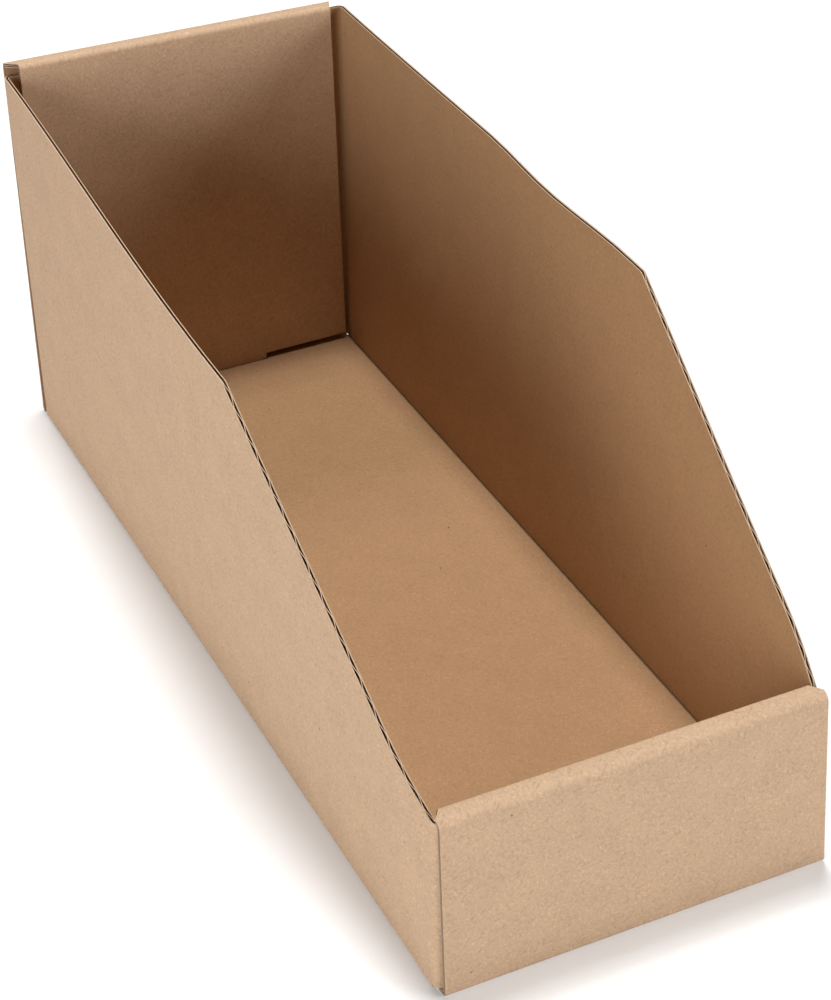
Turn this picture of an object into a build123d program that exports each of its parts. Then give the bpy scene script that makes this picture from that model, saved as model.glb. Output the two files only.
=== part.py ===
"""Open-fronted storage bin, folded from one die-cut blank of corrugated board.

X runs across the bin, Y from the low front wall to the tall back wall, Z up.
The origin is the middle of the floor's underside.  All lengths are in millimetres.
"""
import os
from math import cos, pi, sin

from build123d import *

# The board, and how it folds
board = 1.2  # thickness of the corrugated board
liner = 0.24  # flat paper on each face of the board
medium = 0.16  # fluted paper between the two liners
flute_pitch = 4.05  # from crest to crest of the medium
flute_reach = 5.0  # how far a flute is open, either way from the middle of its mouth
groove_depth = 0.8  # how far the channel between the liners is open along the level tops
layer_gap = 0.3  # air between layers that lie against each other
fold_inner = 0.2  # inside radius of a crease
corner_inner = 1.0  # inside radius of the softer crease between a side wall and its flap
roll_inner = 1.1  # inside radius of the soft bend at the top of an end wall's outer panel
overrun = 5.0  # how far cuts reach past what they cut

# The bin as a whole
width = 101.6  # outside, across the side walls at the floor
length = 280.0  # outside, front face to back face
side_height = 111.8  # level top of the side walls
front_height = 51.3  # top of the front wall's roll-over

# The side walls' slope down to the front, and the flaps at their ends
slope_run = 96.0  # from the front face back to where the slope starts
slope_corner_radius = 2.0
flap_gap = 9.6  # between the ends of two flaps that meet in an end wall
flap_stand_off = 0.8  # air between the flaps and the outer panel in front of them
front_flap_clearance = 0.8  # from the front flaps' tops up to the strip above them
back_flap_clearance = 0.5  # the same at the back
flap_foot_clearance = 0.1  # from the top of the floor crease up to the flaps' feet

# The side walls stand free along their tops, so they lean and bow, and the front wall draws them in
# at its ends; leans, bows and the draw are how far a wall's top stands out, or in, past its foot
left_lean_back = 0.0
left_lean_front = 2.1
left_bow = 4.75
right_lean_back = 2.9
right_lean_front = -2.4
right_bow = 3.0
bow_skew = 1.4  # above 1 the bow is fullest forward of the middle
front_draw = 4.4  # inward
front_draw_reach = 18.0  # how far back from the front crease the draw reaches
dent_depth = 1.6  # the right wall's top edge is pushed in a little, near its middle
dent_place = 143.0  # from the front face to the dent's deepest point
dent_reach = 38.0  # from there to where it runs out, either way
station_shares = (0.0, 0.1, 0.2, 0.3, 0.36, 0.42, 0.49, 0.56, 0.63, 0.74, 0.84, 0.93, 0.96, 0.98, 1.0)

# The end walls: each is an outer panel, a roll-over strip and an inner panel.  The front wall sits
# slightly askew between the side walls, and the back wall's roll-over stands higher at its left end
front_slack = 1.6  # air between the flaps and the inner panel
front_left_inset_low = 1.5  # from the side wall's face to the panel's cut edge, at the floor
front_left_inset_high = 1.2  # the same, at the roll-over
front_left_inset_inner = 3.2  # the same, on the inner panel
front_right_inset_low = 0.5
front_right_inset_high = 2.8
front_right_inset_inner = 4.8
back_slack = 1.2
back_left_inset_low = 0.1
back_left_inset_high = 1.0
back_left_inset_inner = 4.2
back_right_inset_low = 0.9
back_right_inset_high = 1.4
back_right_inset_inner = 2.5
back_left_rise = 2.2  # from the roll-over's right end up to its left end
tab_width = 42.0
tab_lift = 0.2  # from the underside of the floor up to the tab's tip
panel_lift = 2.0  # from the floor up to the inner panel's foot, beside its tab

# Places that follow from the sizes above
half_width = width / 2
half_length = length / 2
fold_radius = fold_inner + board / 2
roll_radius = roll_inner + board / 2
crease_outer = fold_inner + board
corner_outer = corner_inner + board
roll_outer = roll_inner + board
flap_outer = half_length - board - flap_stand_off
flap_inner = flap_outer - board
wall_end = flap_outer - corner_outer
floor_end = half_length - crease_outer
flap_length = half_width - flap_gap / 2
flap_foot = crease_outer + flap_foot_clearance
back_height = side_height + back_flap_clearance + board
slope_top = slope_run - half_length
slope_foot = front_height - board - front_flap_clearance
flute_space = board - liner * 2
mouth_half = flute_pitch / 2 * (flute_space - medium / 2) / flute_space
mouth_count = int((side_height - slope_foot) * 2 / flute_pitch) - 1
front_panel_middle = flap_inner - front_slack - board / 2
back_panel_middle = flap_inner - back_slack - board / 2
left_wall = (left_lean_back, left_lean_front, left_bow, 0)
right_wall = (right_lean_back, right_lean_front, right_bow, dent_depth)
front_left_insets = (front_left_inset_low, front_left_inset_high, front_left_inset_inner)
front_right_insets = (front_right_inset_low, front_right_inset_high, front_right_inset_inner)
back_left_insets = (back_left_inset_low, back_left_inset_high, back_left_inset_inner)
back_right_insets = (back_right_inset_low, back_right_inset_high, back_right_inset_inner)


def stand_out(share, lean_back, lean_front, bow, dent):
    """How far the top of a side wall stands out at a share of its length, from the back."""
    along = wall_end * (1 - share - share)
    from_dent = min(abs(along - dent_place + half_length) / dent_reach, 1)
    near_front = max(1 - (along + wall_end) / front_draw_reach, 0)
    lean = lean_back + (lean_front - lean_back) * share + bow * sin(pi * share**bow_skew)
    return lean - dent * cos(pi / 2 * from_dent) ** 2 - front_draw * near_front**2


def outer_face(side, wall, along, height):
    """A place on the outer face of a side wall, by its distance along the bin and its height."""
    lean_share = (height - flap_foot) / (side_height - flap_foot)
    lean = stand_out((1 - along / wall_end) / 2, *wall) * lean_share
    return Vector(side * (half_width + lean), along, height)


def side_outline(side, leans):
    """Plan of a side wall with its two turned-in flaps; side is 1 on the right and -1 on the left."""

    def place(beyond, along):
        return (side * (half_width + beyond), along)

    stations = [wall_end * (1 - share - share) for share in station_shares]
    back_lean, front_lean = leans[0], leans[-1]
    outer_line = [place(lean, along) for lean, along in zip(leans, stations)]
    inner_line = [place(lean - board, along) for lean, along in zip(leans, stations)]
    back_corner = place(back_lean - corner_outer, flap_outer)
    back_inner_corner = place(back_lean - corner_outer, flap_inner)
    front_corner = place(front_lean - corner_outer, -flap_outer)
    front_inner_corner = place(front_lean - corner_outer, -flap_inner)
    with BuildLine() as outline:
        Line(place(back_lean - flap_length, flap_outer), back_corner)
        TangentArc(back_corner, outer_line[0], tangent=(side, 0))
        Spline(*outer_line)
        TangentArc(outer_line[-1], front_corner, tangent=(0, -1))
        Line(front_corner, place(front_lean - flap_length, -flap_outer))
        Line(place(front_lean - flap_length, -flap_outer), place(front_lean - flap_length, -flap_inner))
        Line(place(front_lean - flap_length, -flap_inner), front_inner_corner)
        TangentArc(front_inner_corner, inner_line[-1], tangent=(side, 0))
        Spline(*inner_line[::-1])
        TangentArc(inner_line[0], back_inner_corner, tangent=(0, 1))
        Line(back_inner_corner, place(back_lean - flap_length, flap_inner))
        Line(place(back_lean - flap_length, flap_inner), place(back_lean - flap_length, flap_outer))
    return outline


def end_wall(end, left_height, right_height, panel_middle, left_insets, right_insets):
    """A wall rolled over its flaps; end is 1 at the back and -1 at the front."""
    face_middle = half_length - board / 2
    left_low, left_high, left_inner = (inset - half_width for inset in left_insets)
    right_low, right_high, right_inner = (half_width - inset for inset in right_insets)
    strip_start = end * (half_length - roll_outer)
    strip_end = end * (panel_middle + board / 2)
    inner_face = end * (panel_middle - board / 2)

    def roll_start(across):
        tilt = (right_height - left_height) / width
        return (left_height + right_height) / 2 + tilt * across - roll_outer

    with BuildPart() as wall:
        for across, height in ((-half_width, left_height), (half_width, right_height)):
            with BuildSketch(Plane.YZ.offset(across)):
                with BuildLine():
                    FilletPolyline(
                        (end * floor_end, board / 2),
                        (end * face_middle, board / 2),
                        (end * face_middle, height - board / 2),
                        (end * panel_middle, height - board / 2),
                        (end * panel_middle, board + panel_lift),
                        radius=[fold_radius, roll_radius, fold_radius],
                    )
                trace(line_width=board)
        loft(ruled=True)
        with BuildSketch(Plane.XZ):
            with BuildLine():
                Polyline(
                    (left_low, 0),
                    (right_low, 0),
                    (right_low, crease_outer),
                    (right_high, roll_start(right_high)),
                    (right_high, right_height + overrun),
                    (left_high, left_height + overrun),
                    (left_high, roll_start(left_high)),
                    (left_low, crease_outer),
                    close=True,
                )
            make_face()
        extrude(amount=length, both=True, mode=Mode.INTERSECT)
        with BuildSketch():
            with BuildLine():
                Polyline(
                    (-half_width, end * half_length),
                    (-half_width, strip_start),
                    (left_high, strip_start),
                    (left_inner, strip_end),
                    (left_inner, inner_face),
                    (right_inner, inner_face),
                    (right_inner, strip_end),
                    (right_high, strip_start),
                    (half_width, strip_start),
                    (half_width, end * half_length),
                    close=True,
                )
            make_face()
        extrude(amount=left_height + overrun, mode=Mode.INTERSECT)
    return wall.part


# Floor with the feet of both side walls
with BuildPart() as tray:
    with BuildSketch(Plane.XZ):
        with BuildLine():
            FilletPolyline(
                (-half_width + board / 2, flap_foot),
                (-half_width + board / 2, board / 2),
                (half_width - board / 2, board / 2),
                (half_width - board / 2, flap_foot),
                radius=fold_radius,
            )
        trace(line_width=board)
    extrude(amount=wall_end, both=True)
    for end, left_insets, right_insets in (
        (-1, front_left_insets, front_right_insets),
        (1, back_left_insets, back_right_insets),
    ):
        left_inset, right_inset = left_insets[0], right_insets[0]
        with BuildSketch():
            with Locations(((left_inset - right_inset) / 2, end * (wall_end + floor_end) / 2)):
                Rectangle(width - left_inset - right_inset, floor_end - wall_end)
        extrude(amount=board)

# Side walls with their flaps, straight along the floor crease and bowed along the top
upright_leans = [0.0 for share in station_shares]
left_leans = [stand_out(share, *left_wall) for share in station_shares]
right_leans = [stand_out(share, *right_wall) for share in station_shares]
with BuildPart() as sides:
    for side, top_leans in ((-1, left_leans), (1, right_leans)):
        with BuildSketch(Plane.XY.offset(flap_foot)):
            add(side_outline(side, upright_leans).line)
            make_face()
        with BuildSketch(Plane.XY.offset(side_height)):
            add(side_outline(side, top_leans).line)
            make_face()
        loft(ruled=True)
    with BuildSketch(Plane.YZ):
        with BuildLine():
            FilletPolyline(
                (slope_top, side_height + overrun),
                (slope_top, side_height),
                (-wall_end, slope_foot),
                (-half_length - overrun, slope_foot),
                (-half_length - overrun, side_height + overrun),
                radius=[slope_corner_radius, 0, 0],
            )
            Line((-half_length - overrun, side_height + overrun), (slope_top, side_height + overrun))
        make_face()
    extrude(amount=width, both=True, mode=Mode.SUBTRACT)

# The channel between the liners, open along the level top of each side wall
with BuildPart() as grooves:
    for side, top_leans in ((-1, left_leans), (1, right_leans)):
        faces = [half_width + lean for lean in top_leans]
        stations = [wall_end * (1 - share - share) for share in station_shares]
        outer_lip = [(side * (face - liner), along) for face, along in zip(faces, stations)]
        inner_lip = [(side * (face - board + liner), along) for face, along in zip(faces, stations)]
        with BuildSketch(Plane.XY.offset(side_height)):
            with BuildLine():
                Spline(*outer_lip)
                Line(outer_lip[-1], inner_lip[-1])
                Spline(*inner_lip[::-1])
                Line(inner_lip[0], outer_lip[0])
            make_face()
        extrude(amount=-groove_depth)

# The flutes' mouths, a row down each slope, where the die cut across the fluted medium.  The first
# flute is the channel along the level top
with BuildPart() as mouths:
    for side, wall in ((-1, left_wall), (1, right_wall)):
        for number in range(1, mouth_count):
            height = side_height - flute_pitch / 2 * (number + 1)
            along = slope_top - (wall_end + slope_top) * (side_height - height) / (side_height - slope_foot)
            middle = outer_face(side, wall, along, height)
            ahead = outer_face(side, wall, along - flute_reach, height)
            behind = outer_face(side, wall, along + flute_reach, height)
            forward = ahead - behind
            upward = outer_face(side, wall, along, height + flute_pitch) - middle
            base, tip = (-liner, liner + medium / 2 - board)
            if number % 2:
                base, tip = (liner - board, -liner - medium / 2)
            with BuildSketch(Plane(middle, x_dir=upward.cross(forward) * side, z_dir=forward)):
                with BuildLine():
                    Polyline((base, mouth_half), (base, -mouth_half), (tip, 0), close=True)
                make_face()
            extrude(amount=flute_reach, both=True)

# The whole blank: end walls rolled over the flaps, tabs locked in the floor's slots
with BuildPart() as folded_blank:
    add(tray.part)
    add(sides.part)
    add(grooves.part, mode=Mode.SUBTRACT)
    add(mouths.part, mode=Mode.SUBTRACT)
    add(end_wall(-1, front_height, front_height, front_panel_middle, front_left_insets, front_right_insets))
    add(
        end_wall(
            1,
            back_height + back_left_rise,
            back_height,
            back_panel_middle,
            back_left_insets,
            back_right_insets,
        )
    )
    with BuildSketch():
        with Locations((0, -front_panel_middle), (0, back_panel_middle)):
            Rectangle(tab_width + layer_gap * 2, board + layer_gap * 2)
    extrude(amount=board, mode=Mode.SUBTRACT)
    with BuildSketch(Plane.XY.offset(tab_lift)):
        with Locations((0, -front_panel_middle), (0, back_panel_middle)):
            Rectangle(tab_width, board)
    extrude(amount=board + panel_lift - tab_lift)

folded_blank.part.label = "folded_blank"
os.makedirs("parts", exist_ok=True)
export_step(folded_blank.part, "parts/folded_blank.step")
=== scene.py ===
"""Open-fronted storage bin of kraft corrugated board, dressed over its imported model, in metres."""
from math import cos, pi, radians, sin

import bmesh
import bpy
from mathutils import Matrix, Vector


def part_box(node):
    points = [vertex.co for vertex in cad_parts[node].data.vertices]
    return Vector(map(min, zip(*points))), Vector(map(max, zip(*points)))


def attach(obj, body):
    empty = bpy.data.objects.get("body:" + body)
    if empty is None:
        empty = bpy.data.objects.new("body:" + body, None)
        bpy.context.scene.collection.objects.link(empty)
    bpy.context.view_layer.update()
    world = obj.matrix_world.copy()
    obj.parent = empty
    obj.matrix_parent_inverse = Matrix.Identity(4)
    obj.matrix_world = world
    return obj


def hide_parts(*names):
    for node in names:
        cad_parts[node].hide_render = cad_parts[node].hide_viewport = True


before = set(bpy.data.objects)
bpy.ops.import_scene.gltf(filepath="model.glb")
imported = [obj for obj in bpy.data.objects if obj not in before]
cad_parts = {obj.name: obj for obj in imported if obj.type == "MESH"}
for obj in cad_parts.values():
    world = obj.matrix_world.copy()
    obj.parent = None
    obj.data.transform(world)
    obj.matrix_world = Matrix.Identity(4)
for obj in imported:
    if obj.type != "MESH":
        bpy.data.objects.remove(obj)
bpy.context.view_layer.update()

# The floor: the middle panel of one die-cut sheet of corrugated board, with a slot near each end for
# a locking tab.  The sheet is worked as the middle of the board's thickness, and each point keeps
# its place on the flat blank, because flutes and fibres run straight there.
half_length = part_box("folded_blank")[1][1]
half_width = 0.0508
board = 0.0012
fold_inner = 0.0002
corner_inner = 0.0010
flap_stand_off = 0.0008
front_slack = 0.0016
back_slack = 0.0012
tab_half = 0.021
layer_gap = 0.0003
crease_rest = 0.0004
front_draw_reach = 0.018
front_draw_shares = (0.15, 0.3, 0.5, 0.7, 1)
lengthwise_pieces = 28

crease_outer = fold_inner + board
corner_outer = corner_inner + board
floor_half = half_width - crease_outer
floor_end = half_length - crease_outer
wall_end = half_length - board - flap_stand_off - corner_outer
flap_inner = half_length - board * 2 - flap_stand_off
front_panel_middle = flap_inner - front_slack - board / 2
back_panel_middle = flap_inner - back_slack - board / 2


def whole(sheet):
    return sheet.verts[:] + sheet.edges[:] + sheet.faces[:]


def cut_floor(columns):
    """The flat floor, in columns across the flutes, with its crease rests and its two tab slots."""
    sheet = bmesh.new()
    flat = sheet.verts.layers.float_vector.new("flat")
    bmesh.ops.create_grid(sheet, x_segments=columns, y_segments=lengthwise_pieces, size=1)
    bmesh.ops.scale(sheet, verts=sheet.verts, vec=(floor_half, floor_end, 1))
    bmesh.ops.translate(sheet, verts=sheet.verts, vec=(0, 0, board / 2))

    slot_half = board / 2 + layer_gap
    across, along = Vector((1, 0, 0)), Vector((0, 1, 0))
    lines = []
    for place in (tab_half, tab_half + layer_gap, floor_half - crease_rest):
        lines += [across * -place, across * place]
    for middle in (-front_panel_middle, back_panel_middle):
        lines += [along * (middle - slot_half), along * (middle + slot_half)]
    for place in (wall_end, floor_end - crease_rest):
        lines += [along * -place, along * place]
    for share in front_draw_shares:
        lines.append(along * (front_draw_reach * share - wall_end))
    for line in lines:
        bmesh.ops.bisect_plane(sheet, geom=whole(sheet), plane_co=line, plane_no=line.normalized())

    slots = []
    for face in sheet.faces:
        middle = face.calc_center_median()
        from_panel = middle.y - back_panel_middle if middle.y > 0 else middle.y + front_panel_middle
        if abs(middle.x) < tab_half + layer_gap and abs(from_panel) < slot_half:
            slots.append(face)
    bmesh.ops.delete(sheet, geom=slots, context="FACES")
    for vert in sheet.verts:
        vert[flat] = (vert.co.x, vert.co.y, 0)
    return sheet


# The side walls: tall panels folded up along the floor's long creases, die-cut to a slope in front.
# Their free tops relax after folding: the left one bows out, fullest near the slope, the right one
# leans and has a shallow dent near its middle, and the front wall draws both in at its ends.
side_height = 0.1118
front_height = 0.0513
front_flap_clearance = 0.0008
flap_foot_clearance = 0.0001
slope_run = 0.096
slope_corner_radius = 0.002
slope_corner_steps = 4
left_bow = {"back": 0.0, "front": 0.0021, "bow": 0.00475, "dent": 0.0}
right_bow = {"back": 0.0029, "front": -0.0024, "bow": 0.0030, "dent": 0.0016}
bow_skew = 1.4
front_draw = 0.0044
dent_from_front = 0.143
dent_reach = 0.038
bend_steps = 6
touch = 1e-6

fold_radius = fold_inner + board / 2
fold_arc = fold_radius * pi / 2
slope_top = slope_run - half_length
slope_foot = front_height - board - front_flap_clearance
flap_foot = crease_outer + flap_foot_clearance
dent_place = dent_from_front - half_length


def new_row(sheet, edges, flat_step):
    """Adds a row of faces along some edges of the sheet, and gives its free edges and their corners."""
    flat = sheet.verts.layers.float_vector["flat"]
    grown = bmesh.ops.extrude_edge_only(sheet, edges=edges)["geom"]
    corners = {part for part in grown if isinstance(part, bmesh.types.BMVert)}
    for corner in corners:
        corner[flat] += flat_step
    grown_edges = [part for part in grown if isinstance(part, bmesh.types.BMEdge)]
    free = [edge for edge in grown_edges if corners.issuperset(edge.verts)]
    return free, list(corners)


def bend(sheet, edges, hinge, axis, angle, radius, flat_way):
    """Turns the sheet round a hinge line in a bend of the given radius, and gives its free edges."""
    turn = Matrix.Rotation(angle / bend_steps, 3, axis)
    for step in range(bend_steps):
        edges, corners = new_row(sheet, edges, flat_way * abs(angle) * radius / bend_steps)
        bmesh.ops.rotate(sheet, verts=corners, cent=hinge, matrix=turn)
    return edges


def panel(sheet, edges, way, reach, flat_way, rows=1):
    """Carries the sheet straight on, with a short row at each crease, and gives its free edges."""
    middle = reach - 2 * crease_rest
    for share in [crease_rest] + [middle / rows] * rows + [crease_rest]:
        edges, corners = new_row(sheet, edges, flat_way * share)
        bmesh.ops.translate(sheet, verts=corners, vec=way * share)
    return edges


def edges_at(sheet, test):
    return [edge for edge in sheet.edges if edge.is_boundary and all(test(vert) for vert in edge.verts)]


def raise_side_walls(sheet, rows):
    """Folds up the two side walls, in rows from the crease to the top, and cuts their slopes."""
    for side in (-1, 1):
        out = Vector((side, 0, 0))
        edges = edges_at(
            sheet,
            lambda vert: abs(vert.co.x - side * floor_half) < touch
            and abs(vert.co.y) < wall_end + touch,
        )
        hinge = (side * floor_half, 0, board / 2 + fold_radius)
        edges = bend(sheet, edges, hinge, "Y", -side * pi / 2, fold_radius, out)
        panel(sheet, edges, Vector((0, 0, 1)), side_height - crease_outer, out, rows)

    slope = Vector((0, slope_foot - side_height, wall_end + slope_top)).normalized()
    turn = slope.angle(Vector((0, 0, 1)))
    reach = slope_corner_radius * sin(turn / 2) / cos(turn / 2)
    centre = Vector((0, slope_top + reach, side_height - slope_corner_radius))
    for step in range(1, slope_corner_steps + 1):
        way = Matrix.Rotation(turn * (step / slope_corner_steps), 3, "X") @ Vector((0, 0, 1))
        place = centre + way * slope_corner_radius
        bmesh.ops.bisect_plane(sheet, geom=whole(sheet), plane_co=place, plane_no=way, clear_outer=True)


def bow_side_walls(sheet):
    """Leans the side walls and their flaps out from their floor creases."""
    flat = sheet.verts.layers.float_vector["flat"]
    for vert in sheet.verts:
        if abs(vert[flat].x) < floor_half + touch:
            continue
        side, wall = (1, right_bow) if vert[flat].x > 0 else (-1, left_bow)
        along = min(max(vert.co.y, -wall_end), wall_end)
        share = (1 - along / wall_end) / 2
        from_dent = min(abs(along - dent_place) / dent_reach, 1)
        near_front = max(1 - (along + wall_end) / front_draw_reach, 0)
        lean = wall["back"] + (wall["front"] - wall["back"]) * share
        lean += wall["bow"] * sin(pi * share**bow_skew)
        lean -= wall["dent"] * cos(pi / 2 * from_dent) ** 2 + front_draw * near_front**2
        vert.co.x += side * lean * max(vert.co.z - flap_foot, 0) / (side_height - flap_foot)


# The corner flaps: one on each upright end of each side wall, turned in on a soft corner.  The end
# walls roll over them and hold them between their layers, so only slivers of them show.
flap_gap = 0.0096

corner_radius = corner_inner + board / 2


def turn_in_flaps(sheet):
    """Carries each side wall on round its two corners, and in behind the end walls."""
    flat = sheet.verts.layers.float_vector["flat"]
    for side in (-1, 1):
        for end in (-1, 1):
            on = Vector((0, end, 0))
            edges = edges_at(
                sheet,
                lambda vert: abs(vert.co.y - end * wall_end) < touch
                and side * vert[flat].x > floor_half + fold_arc - touch,
            )
            hinge = (side * (half_width - corner_outer), end * wall_end, 0)
            edges = bend(sheet, edges, hinge, "Z", side * end * pi / 2, corner_radius, on)
            panel(sheet, edges, Vector((-side, 0, 0)), half_width - corner_outer - flap_gap / 2, on)


# The end walls: each goes up from the floor, rolls over the flaps and comes down inside to a tab that
# locks in its slot.  Each panel is a little narrower than the last, so that it can roll in between
# the side walls; insets are from a side wall's face to the panel's cut edge, and differ by corner.
roll_inner = 0.0011
back_flap_clearance = 0.0005
back_left_rise = 0.0022
tab_lift = 0.0002
panel_lift = 0.0020
front_left_insets = {"low": 0.0015, "high": 0.0012, "inner": 0.0032}
front_right_insets = {"low": 0.0005, "high": 0.0028, "inner": 0.0048}
back_left_insets = {"low": 0.0001, "high": 0.0010, "inner": 0.0042}
back_right_insets = {"low": 0.0009, "high": 0.0014, "inner": 0.0025}
inset_power = 4

roll_radius = roll_inner + board / 2
roll_outer = roll_inner + board
back_height = side_height + back_flap_clearance + board
panel_foot = board + panel_lift


def roll_end_walls(sheet):
    """Folds up the front and back walls: outer panel, roll-over strip, inner panel and its tab."""
    up = Vector((0, 0, 1))
    walls = ((-1, front_height, front_panel_middle), (1, back_height, back_panel_middle))
    for end, height, panel_middle in walls:
        on = Vector((0, end, 0))
        edges = edges_at(sheet, lambda vert: abs(vert.co.y - end * floor_end) < touch)
        hinge = (0, end * floor_end, crease_outer)
        edges = bend(sheet, edges, hinge, "X", end * pi / 2, fold_radius, on)
        edges = panel(sheet, edges, up, height - roll_outer - crease_outer, on)
        hinge = (0, end * (half_length - roll_outer), height - roll_outer)
        edges = bend(sheet, edges, hinge, "X", end * pi / 2, roll_radius, on)
        strip = half_length - roll_outer - panel_middle - fold_radius
        edges, corners = new_row(sheet, edges, on * strip)
        bmesh.ops.translate(sheet, verts=corners, vec=-on * strip)
        hinge = (0, end * (panel_middle + fold_radius), height - crease_outer)
        edges = bend(sheet, edges, hinge, "X", end * pi / 2, fold_radius, on)
        edges = panel(sheet, edges, -up, height - crease_outer - panel_foot, on)
        edges = [edge for edge in edges if all(abs(vert.co.x) < tab_half + touch for vert in edge.verts)]
        panel(sheet, edges, -up, panel_foot - tab_lift, on)


def shape_end_walls(sheet):
    """Draws in the cut sides of the end walls, and lifts the back one's roll at its left end."""
    flat = sheet.verts.layers.float_vector["flat"]
    strip_start = half_length - roll_outer
    for vert in sheet.verts:
        if abs(vert[flat].y) < floor_end - touch or abs(vert[flat].x) > floor_half + touch:
            continue
        is_back, along = vert.co.y > 0, abs(vert.co.y)
        if is_back:
            height, strip_end = back_height, back_panel_middle + board / 2
            insets = back_left_insets if vert.co.x < 0 else back_right_insets
        else:
            height, strip_end = front_height, front_panel_middle + board / 2
            insets = front_left_insets if vert.co.x < 0 else front_right_insets
        if along > strip_start:
            share = (vert.co.z - crease_outer) / (height - roll_outer - crease_outer)
            inset, next_inset, lift_share = insets["low"], insets["high"], share
        else:
            share = (strip_start - along) / (strip_start - strip_end)
            inset, next_inset = insets["high"], insets["inner"]
            lift_share = (vert.co.z - panel_foot) / (height - crease_outer - panel_foot)
        inset += (next_inset - inset) * min(max(share, 0), 1)
        across = vert.co.x / floor_half
        vert.co.x += across * abs(across) ** inset_power * (crease_outer - inset)
        if is_back:
            vert.co.z += back_left_rise * (1 - vert.co.x / half_width) / 2 * min(max(lift_share, 0), 1)


# The liners: two flat sheets of brown kraft paper, the inner one darker than the outer, with short
# fibres that show as a fine grain, sparse dark specks, and a paler raw line wherever the die cut them.
# They are folded up with the blank, and the inner one has painted shade along the long creases.
liner = 0.00024
liner_columns = 12
liner_rows = 6
outer_kraft = (0.548, 0.374, 0.243, 1)
inner_kraft = (0.448, 0.268, 0.140, 1)
cut_kraft = (0.52, 0.36, 0.235, 1)
outer_grain = 1.25
inner_grain = 1.0
cut_grain = 0.5
dark_fibres = (
    {"turn": 0.5, "per_metre": 1500, "slim": 4, "size": 0.3, "kept": 0.22},
    {"turn": -0.9, "per_metre": 1300, "slim": 5, "size": 0.3, "kept": 0.2},
)
pale_fibres = (
    {"turn": 0.1, "per_metre": 1400, "slim": 4, "size": 0.3, "kept": 0.22},
    {"turn": 1.2, "per_metre": 1500, "slim": 4, "size": 0.3, "kept": 0.2},
)
dark_specks = {"turn": 0, "per_metre": 95, "slim": 1, "size": 0.032, "kept": 0.035}
kept_step = 0.001
cloud_range = (0.3, 0.7)
cloud_depth = 0.03
mottle_range = (0.25, 0.75)
mottle_depth = 0.13
dark_depth = 0.11
pale_depth = 0.10
speck_shade = 0.35
fibre_drift = 0.0008
fibre_relief = 0.25
paper_relief = 0.00006
relief_strength = 0.3
paper_roughness = 0.88
paper_sheen = 0.2
# Painted shade along the inside of the long creases: how far it spreads past the bend, and how dark it is.
painted_crease_shade_width = 0.00035
painted_crease_shade = 0.38
sharp_edge = radians(40)


def fold_up(columns, rows):
    """The folded blank as a sheet, facing out; columns divide it across the flutes, rows up its sides."""
    sheet = cut_floor(columns)
    raise_side_walls(sheet, rows)
    turn_in_flaps(sheet)
    roll_end_walls(sheet)
    shape_end_walls(sheet)
    bow_side_walls(sheet)
    bmesh.ops.recalc_face_normals(sheet, faces=sheet.faces)
    if min(sheet.faces, key=lambda face: face.calc_center_median().length).normal.z > 0:
        bmesh.ops.reverse_faces(sheet, faces=sheet.faces)
    return sheet


def add_node(tree, kind, settings=None, inputs=None):
    """A shader node with its settings made and its inputs set, or linked where a socket is given."""
    node = tree.nodes.new(kind)
    for name, value in (settings or {}).items():
        setattr(node, name, value)
    for name, value in (inputs or {}).items():
        if isinstance(value, bpy.types.NodeSocket):
            tree.links.new(value, node.inputs[name])
        else:
            node.inputs[name].default_value = value
    return node


def spread(tree, value, low_in, high_in, low_out, high_out):
    """A value taken from one range to another, and held there."""
    inputs = {"Value": value, "From Min": low_in, "From Max": high_in}
    inputs.update({"To Min": low_out, "To Max": high_out})
    return add_node(tree, "ShaderNodeMapRange", {}, inputs).outputs["Result"]


def multiply(tree, first, second):
    return add_node(tree, "ShaderNodeMath", {"operation": "MULTIPLY"}, {0: first, 1: second}).outputs[0]


def add_up(tree, first, second):
    return add_node(tree, "ShaderNodeMath", {"operation": "ADD"}, {0: first, 1: second}).outputs[0]


def absolute(tree, value):
    return add_node(tree, "ShaderNodeMath", {"operation": "ABSOLUTE"}, {0: value}).outputs[0]


def noise(tree, place, per_metre, detail, roughness):
    inputs = {"Vector": place, "Scale": per_metre, "Detail": detail, "Roughness": roughness}
    return add_node(tree, "ShaderNodeTexNoise", {}, inputs).outputs


def scattered(tree, place, turn, per_metre, slim, size, kept):
    """Scattered marks, 1 inside and 0 between: slim ones lie one way on the sheet, as fibres do."""
    stretch = (per_metre, per_metre / slim, per_metre)
    turned = add_node(tree, "ShaderNodeMapping", {}, {"Vector": place, "Rotation": (0, 0, turn)})
    laid = add_node(tree, "ShaderNodeMapping", {}, {"Vector": turned.outputs["Vector"], "Scale": stretch})
    inputs = {"Vector": laid.outputs["Vector"], "Scale": 1}
    cells = add_node(tree, "ShaderNodeTexVoronoi", {"voronoi_dimensions": "2D"}, inputs)
    mark = spread(tree, cells.outputs["Distance"], size / 2, size, 1, 0)
    colour = add_node(tree, "ShaderNodeSeparateColor", {}, {"Color": cells.outputs["Color"]})
    is_kept = spread(tree, colour.outputs["Red"], 1 - kept, 1 - kept + kept_step, 0, 1)
    return multiply(tree, mark, is_kept)


def from_long_crease(tree, flat):
    """How far a place on the blank is from the middle of the nearer crease along the floor."""
    across = add_node(tree, "ShaderNodeSeparateXYZ", {}, {"Vector": flat}).outputs["X"]
    return absolute(tree, add_up(tree, absolute(tree, across), -floor_half - fold_arc / 2))


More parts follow.
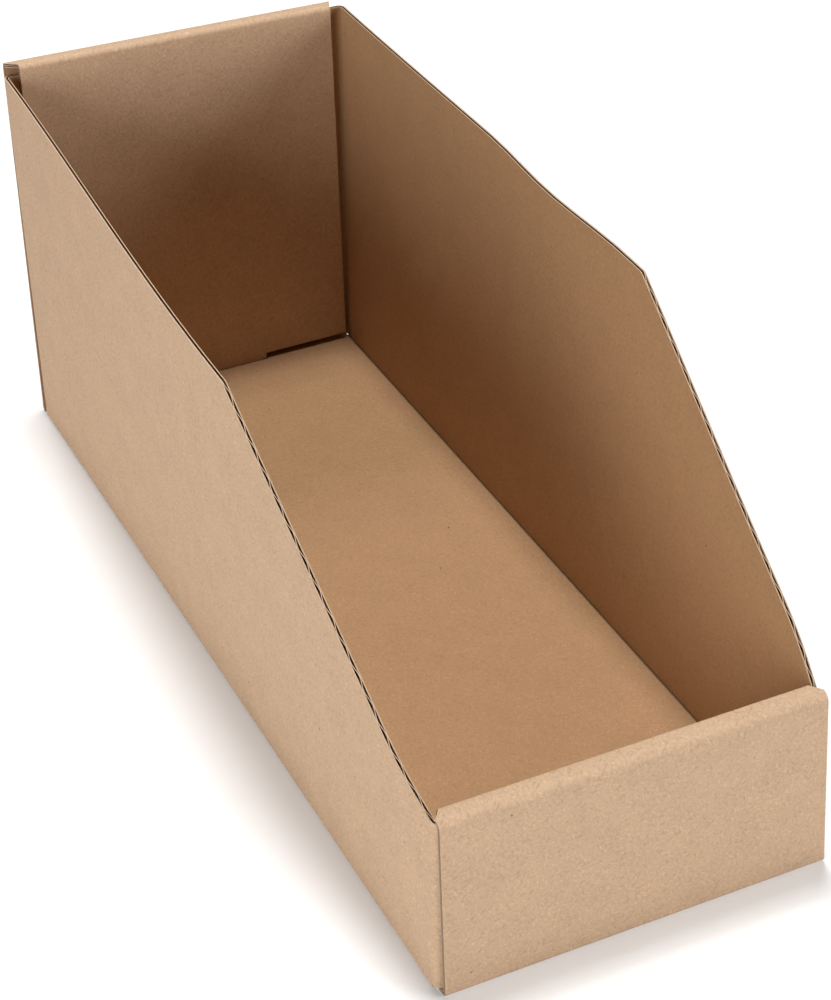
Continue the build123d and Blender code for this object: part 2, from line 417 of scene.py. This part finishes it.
def kraft_paper(name, paper_colour, grain, crease=1):
    """Unbleached paper, cloudy and with a fine grain of fibres.

    Grain scales how strongly the marks show, and a crease below 1 paints shade along the long folds.
    """
    material = bpy.data.materials.new(name)
    material.use_nodes = True
    tree = material.node_tree
    shader = tree.nodes["Principled BSDF"]
    flat = add_node(tree, "ShaderNodeAttribute", {"attribute_name": "flat"}).outputs["Vector"]
    drift = noise(tree, flat, per_metre=700, detail=2, roughness=0.5)["Color"]
    inputs = {0: drift, 1: (fibre_drift, fibre_drift, 0), 2: flat}
    wander = add_node(tree, "ShaderNodeVectorMath", {"operation": "MULTIPLY_ADD"}, inputs).outputs["Vector"]
    cloud = noise(tree, flat, per_metre=90, detail=3, roughness=0.6)["Fac"]
    mottle = noise(tree, wander, per_metre=1300, detail=3, roughness=0.7)["Fac"]
    dark = add_up(tree, *(scattered(tree, wander, **lay) for lay in dark_fibres))
    pale = add_up(tree, *(scattered(tree, wander, **lay) for lay in pale_fibres))
    specks = scattered(tree, wander, **dark_specks)

    clouded, mottled = cloud_depth * grain, mottle_depth * grain
    shade = spread(tree, cloud, *cloud_range, 1 - clouded, 1 + clouded)
    shade = multiply(tree, shade, spread(tree, mottle, *mottle_range, 1 - mottled, 1 + mottled))
    shade = multiply(tree, shade, spread(tree, dark, 0, 1, 1, 1 - dark_depth * grain))
    shade = multiply(tree, shade, spread(tree, pale, 0, 1, 1, 1 + pale_depth * grain))
    shade = multiply(tree, shade, spread(tree, specks, 0, 1, 1, speck_shade))
    # Painted shade: a thin dark line along each long crease of the inner paper, where shade falls in the
    # fold.
    if crease < 1:
        near, far = fold_arc / 2, fold_arc / 2 + painted_crease_shade_width
        shade = multiply(tree, shade, spread(tree, from_long_crease(tree, flat), near, far, crease, 1))
    inputs = {0: paper_colour[:3], "Scale": shade}
    tint = add_node(tree, "ShaderNodeVectorMath", {"operation": "SCALE"}, inputs)
    tree.links.new(tint.outputs["Vector"], shader.inputs["Base Color"])

    height = add_up(tree, mottle, multiply(tree, add_up(tree, dark, pale), fibre_relief))
    inputs = {"Height": height, "Strength": relief_strength, "Distance": paper_relief}
    bump = add_node(tree, "ShaderNodeBump", {}, inputs)
    tree.links.new(bump.outputs["Normal"], shader.inputs["Normal"])
    shader.inputs["Roughness"].default_value = paper_roughness
    shader.inputs["Specular IOR Level"].default_value = paper_sheen
    return material


def shifted(sheet, distance):
    """Moves each point of a sheet along its normal by a distance that depends on its place on the blank."""
    flat = sheet.verts.layers.float_vector["flat"]
    sheet.normal_update()
    moves = [vert.normal * vert.calc_shell_factor() * distance(vert[flat]) for vert in sheet.verts]
    for vert, move in zip(sheet.verts, moves):
        vert.co += move
    return sheet


def paper_layer(name, sheet, thickness, face_paper, edge_paper):
    """Gives a sheet its paper thickness, with its cut edges in their own finish, as a piece of the bin."""
    edges = [edge for edge in sheet.edges if edge.is_boundary]
    skin = set(sheet.faces)
    bmesh.ops.solidify(sheet, geom=sheet.faces[:], thickness=thickness)
    for edge in edges:
        for face in edge.link_faces:
            if face not in skin:
                face.material_index = 1
    mesh = bpy.data.meshes.new(name)
    sheet.to_mesh(mesh)
    sheet.free()
    mesh.materials.append(face_paper)
    mesh.materials.append(edge_paper)
    mesh.shade_smooth()
    mesh.set_sharp_from_angle(angle=sharp_edge)
    piece = bpy.data.objects.new(name, mesh)
    bpy.context.scene.collection.objects.link(piece)
    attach(piece, "root")
    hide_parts("folded_blank")
    return piece


outer_paper = kraft_paper("outer_kraft_liner", outer_kraft, outer_grain)
inner_paper = kraft_paper("inner_kraft_liner", inner_kraft, inner_grain, painted_crease_shade)
cut_paper = kraft_paper("cut_kraft_edge", cut_kraft, cut_grain)
folded = fold_up(liner_columns, liner_rows)
outside = shifted(folded.copy(), lambda place: board / 2)
outer_liner = paper_layer("outer_liner", outside, liner, outer_paper, cut_paper)
inside = shifted(folded, lambda place: liner - board / 2)
inner_liner = paper_layer("inner_liner", inside, liner, inner_paper, cut_paper)

# The medium: a thinner paper rolled into flutes and glued between the liners.  It shows only where
# the die left the board's edge open, as a wave along the slopes and a channel along the tops.
medium = 0.00016
glue_line = 0.00001
flute_pitch = 0.00405
# Painted shade: the medium is coloured far darker than its paper, as dark as the shade deep inside the
# flutes.
medium_painted_shade_brown = (0.10, 0.06, 0.035, 1)
cut_medium = (0.6, 0.45, 0.33, 1)
medium_grain = 0.6
samples_per_flute = 8

flute_rise = board / 2 - liner - medium / 2 - glue_line
wall_top_on_flat = floor_half + fold_arc + side_height - crease_outer


def flute_wave(place):
    """How far the medium stands off the middle of the board; the long creases crush it flat."""
    from_crease = abs(abs(place.x) - floor_half - fold_arc / 2) - fold_arc / 2
    crush = min(max(from_crease / flute_pitch, 0), 1)
    return flute_rise * crush * cos(2 * pi * (abs(place.x) - wall_top_on_flat) / flute_pitch) + medium / 2


medium_paper = kraft_paper("fluting_medium", medium_painted_shade_brown, medium_grain)
cut_medium_paper = kraft_paper("cut_fluting_edge", cut_medium, cut_grain)
spacing = flute_pitch / samples_per_flute
fine = fold_up(round(2 * floor_half / spacing), round((side_height - crease_outer) / spacing))
fluted = shifted(fine, flute_wave)
fluted_medium = paper_layer("fluted_medium", fluted, medium, medium_paper, cut_medium_paper)

# The table: a plain white sheet in a small dark studio, with small lamps overhead and behind, and two
# large soft ones low at the left and at the right of the front.  A lamp's level is what a white card
# facing it would show; what is seen of the table is lifted a little to white, and keeps its shadow.
table_white = (0.86, 0.86, 0.86, 1)
table_lift = 0.15
table_roughness = 0.9
table_half = 2.5
lamp_distance = 1.7
lamps = {
    "top_lamp": {"azimuth": 200, "elevation": 85, "level": 0.52, "size": 0.3},
    "top_back_lamp": {"azimuth": 190, "elevation": 79, "level": 0.28, "size": 0.3},
    "back_lamp": {"azimuth": 180, "elevation": 50, "level": 0.20, "size": 0.35},
    "left_lamp": {"azimuth": 62, "elevation": 16, "level": 0.68, "size": 1.0},
    "right_lamp": {"azimuth": 312, "elevation": 17, "level": 0.58, "size": 1.0},
}
lamp_aim = Vector((0, 0, 0.05))

table_top = bmesh.new()
bmesh.ops.create_grid(table_top, x_segments=1, y_segments=1, size=table_half)
table_mesh = bpy.data.meshes.new("table")
table_top.to_mesh(table_mesh)
table_top.free()
table_finish = bpy.data.materials.new("white_table")
table_finish.use_nodes = True
table_tree = table_finish.node_tree
table_shader = table_tree.nodes["Principled BSDF"]
table_shader.inputs["Base Color"].default_value = table_white
table_shader.inputs["Roughness"].default_value = table_roughness
table_shader.inputs["Specular IOR Level"].default_value = 0.0
table_shader.inputs["Emission Color"].default_value = (1, 1, 1, 1)
light_path = add_node(table_tree, "ShaderNodeLightPath")
seen = light_path.outputs["Is Camera Ray"]
for ray in ("Is Glossy Ray", "Is Transmission Ray"):
    seen = add_up(table_tree, seen, light_path.outputs[ray])
seen_lift = multiply(table_tree, seen, table_lift)
table_tree.links.new(seen_lift, table_shader.inputs["Emission Strength"])
table_mesh.materials.append(table_finish)
table = bpy.data.objects.new("table", table_mesh)
bpy.context.scene.collection.objects.link(table)

for name, lamp in lamps.items():
    azimuth, elevation = radians(lamp["azimuth"]), radians(lamp["elevation"])
    towards = Vector((-sin(azimuth) * cos(elevation), -cos(azimuth) * cos(elevation), sin(elevation)))
    light = bpy.data.lights.new(name, "AREA")
    light.size = lamp["size"]
    light.energy = lamp["level"] * pi**2 * lamp_distance**2
    lamp_object = bpy.data.objects.new(name, light)
    lamp_object.location = lamp_aim + towards * lamp_distance
    lamp_object.rotation_euler = towards.to_track_quat("Z", "Y").to_euler()
    bpy.context.scene.collection.objects.link(lamp_object)

surround = bpy.data.worlds.new("surround")
surround.use_nodes = True
surround.node_tree.nodes["Background"].inputs["Strength"].default_value = 0
bpy.context.scene.world = surround

# The camera: where the photograph was taken from, a little to the left of the front and above.
# Its place, way and roll were fitted to the bin's straight edges.
camera_place = Vector((-0.22105, -0.51479, 0.41534))
camera_way = Vector((0.3389, 0.75453, -0.56199))
camera_roll = radians(-1.876)
focal_pixels = 2564.33
photo_height = 1000
film_height = 36
camera_data = bpy.data.cameras.new("camera")
camera_data.sensor_fit = "VERTICAL"
camera_data.sensor_height = film_height
camera_data.lens = focal_pixels * film_height / photo_height
camera = bpy.data.objects.new("camera", camera_data)
camera.location = camera_place
level_look = camera_way.to_track_quat("-Z", "Y").to_matrix()
camera.rotation_euler = (level_look @ Matrix.Rotation(camera_roll, 3, "Z")).to_euler()
bpy.context.scene.collection.objects.link(camera)
bpy.context.scene.camera = camera
bpy.context.scene.view_settings.view_transform = "Standard"
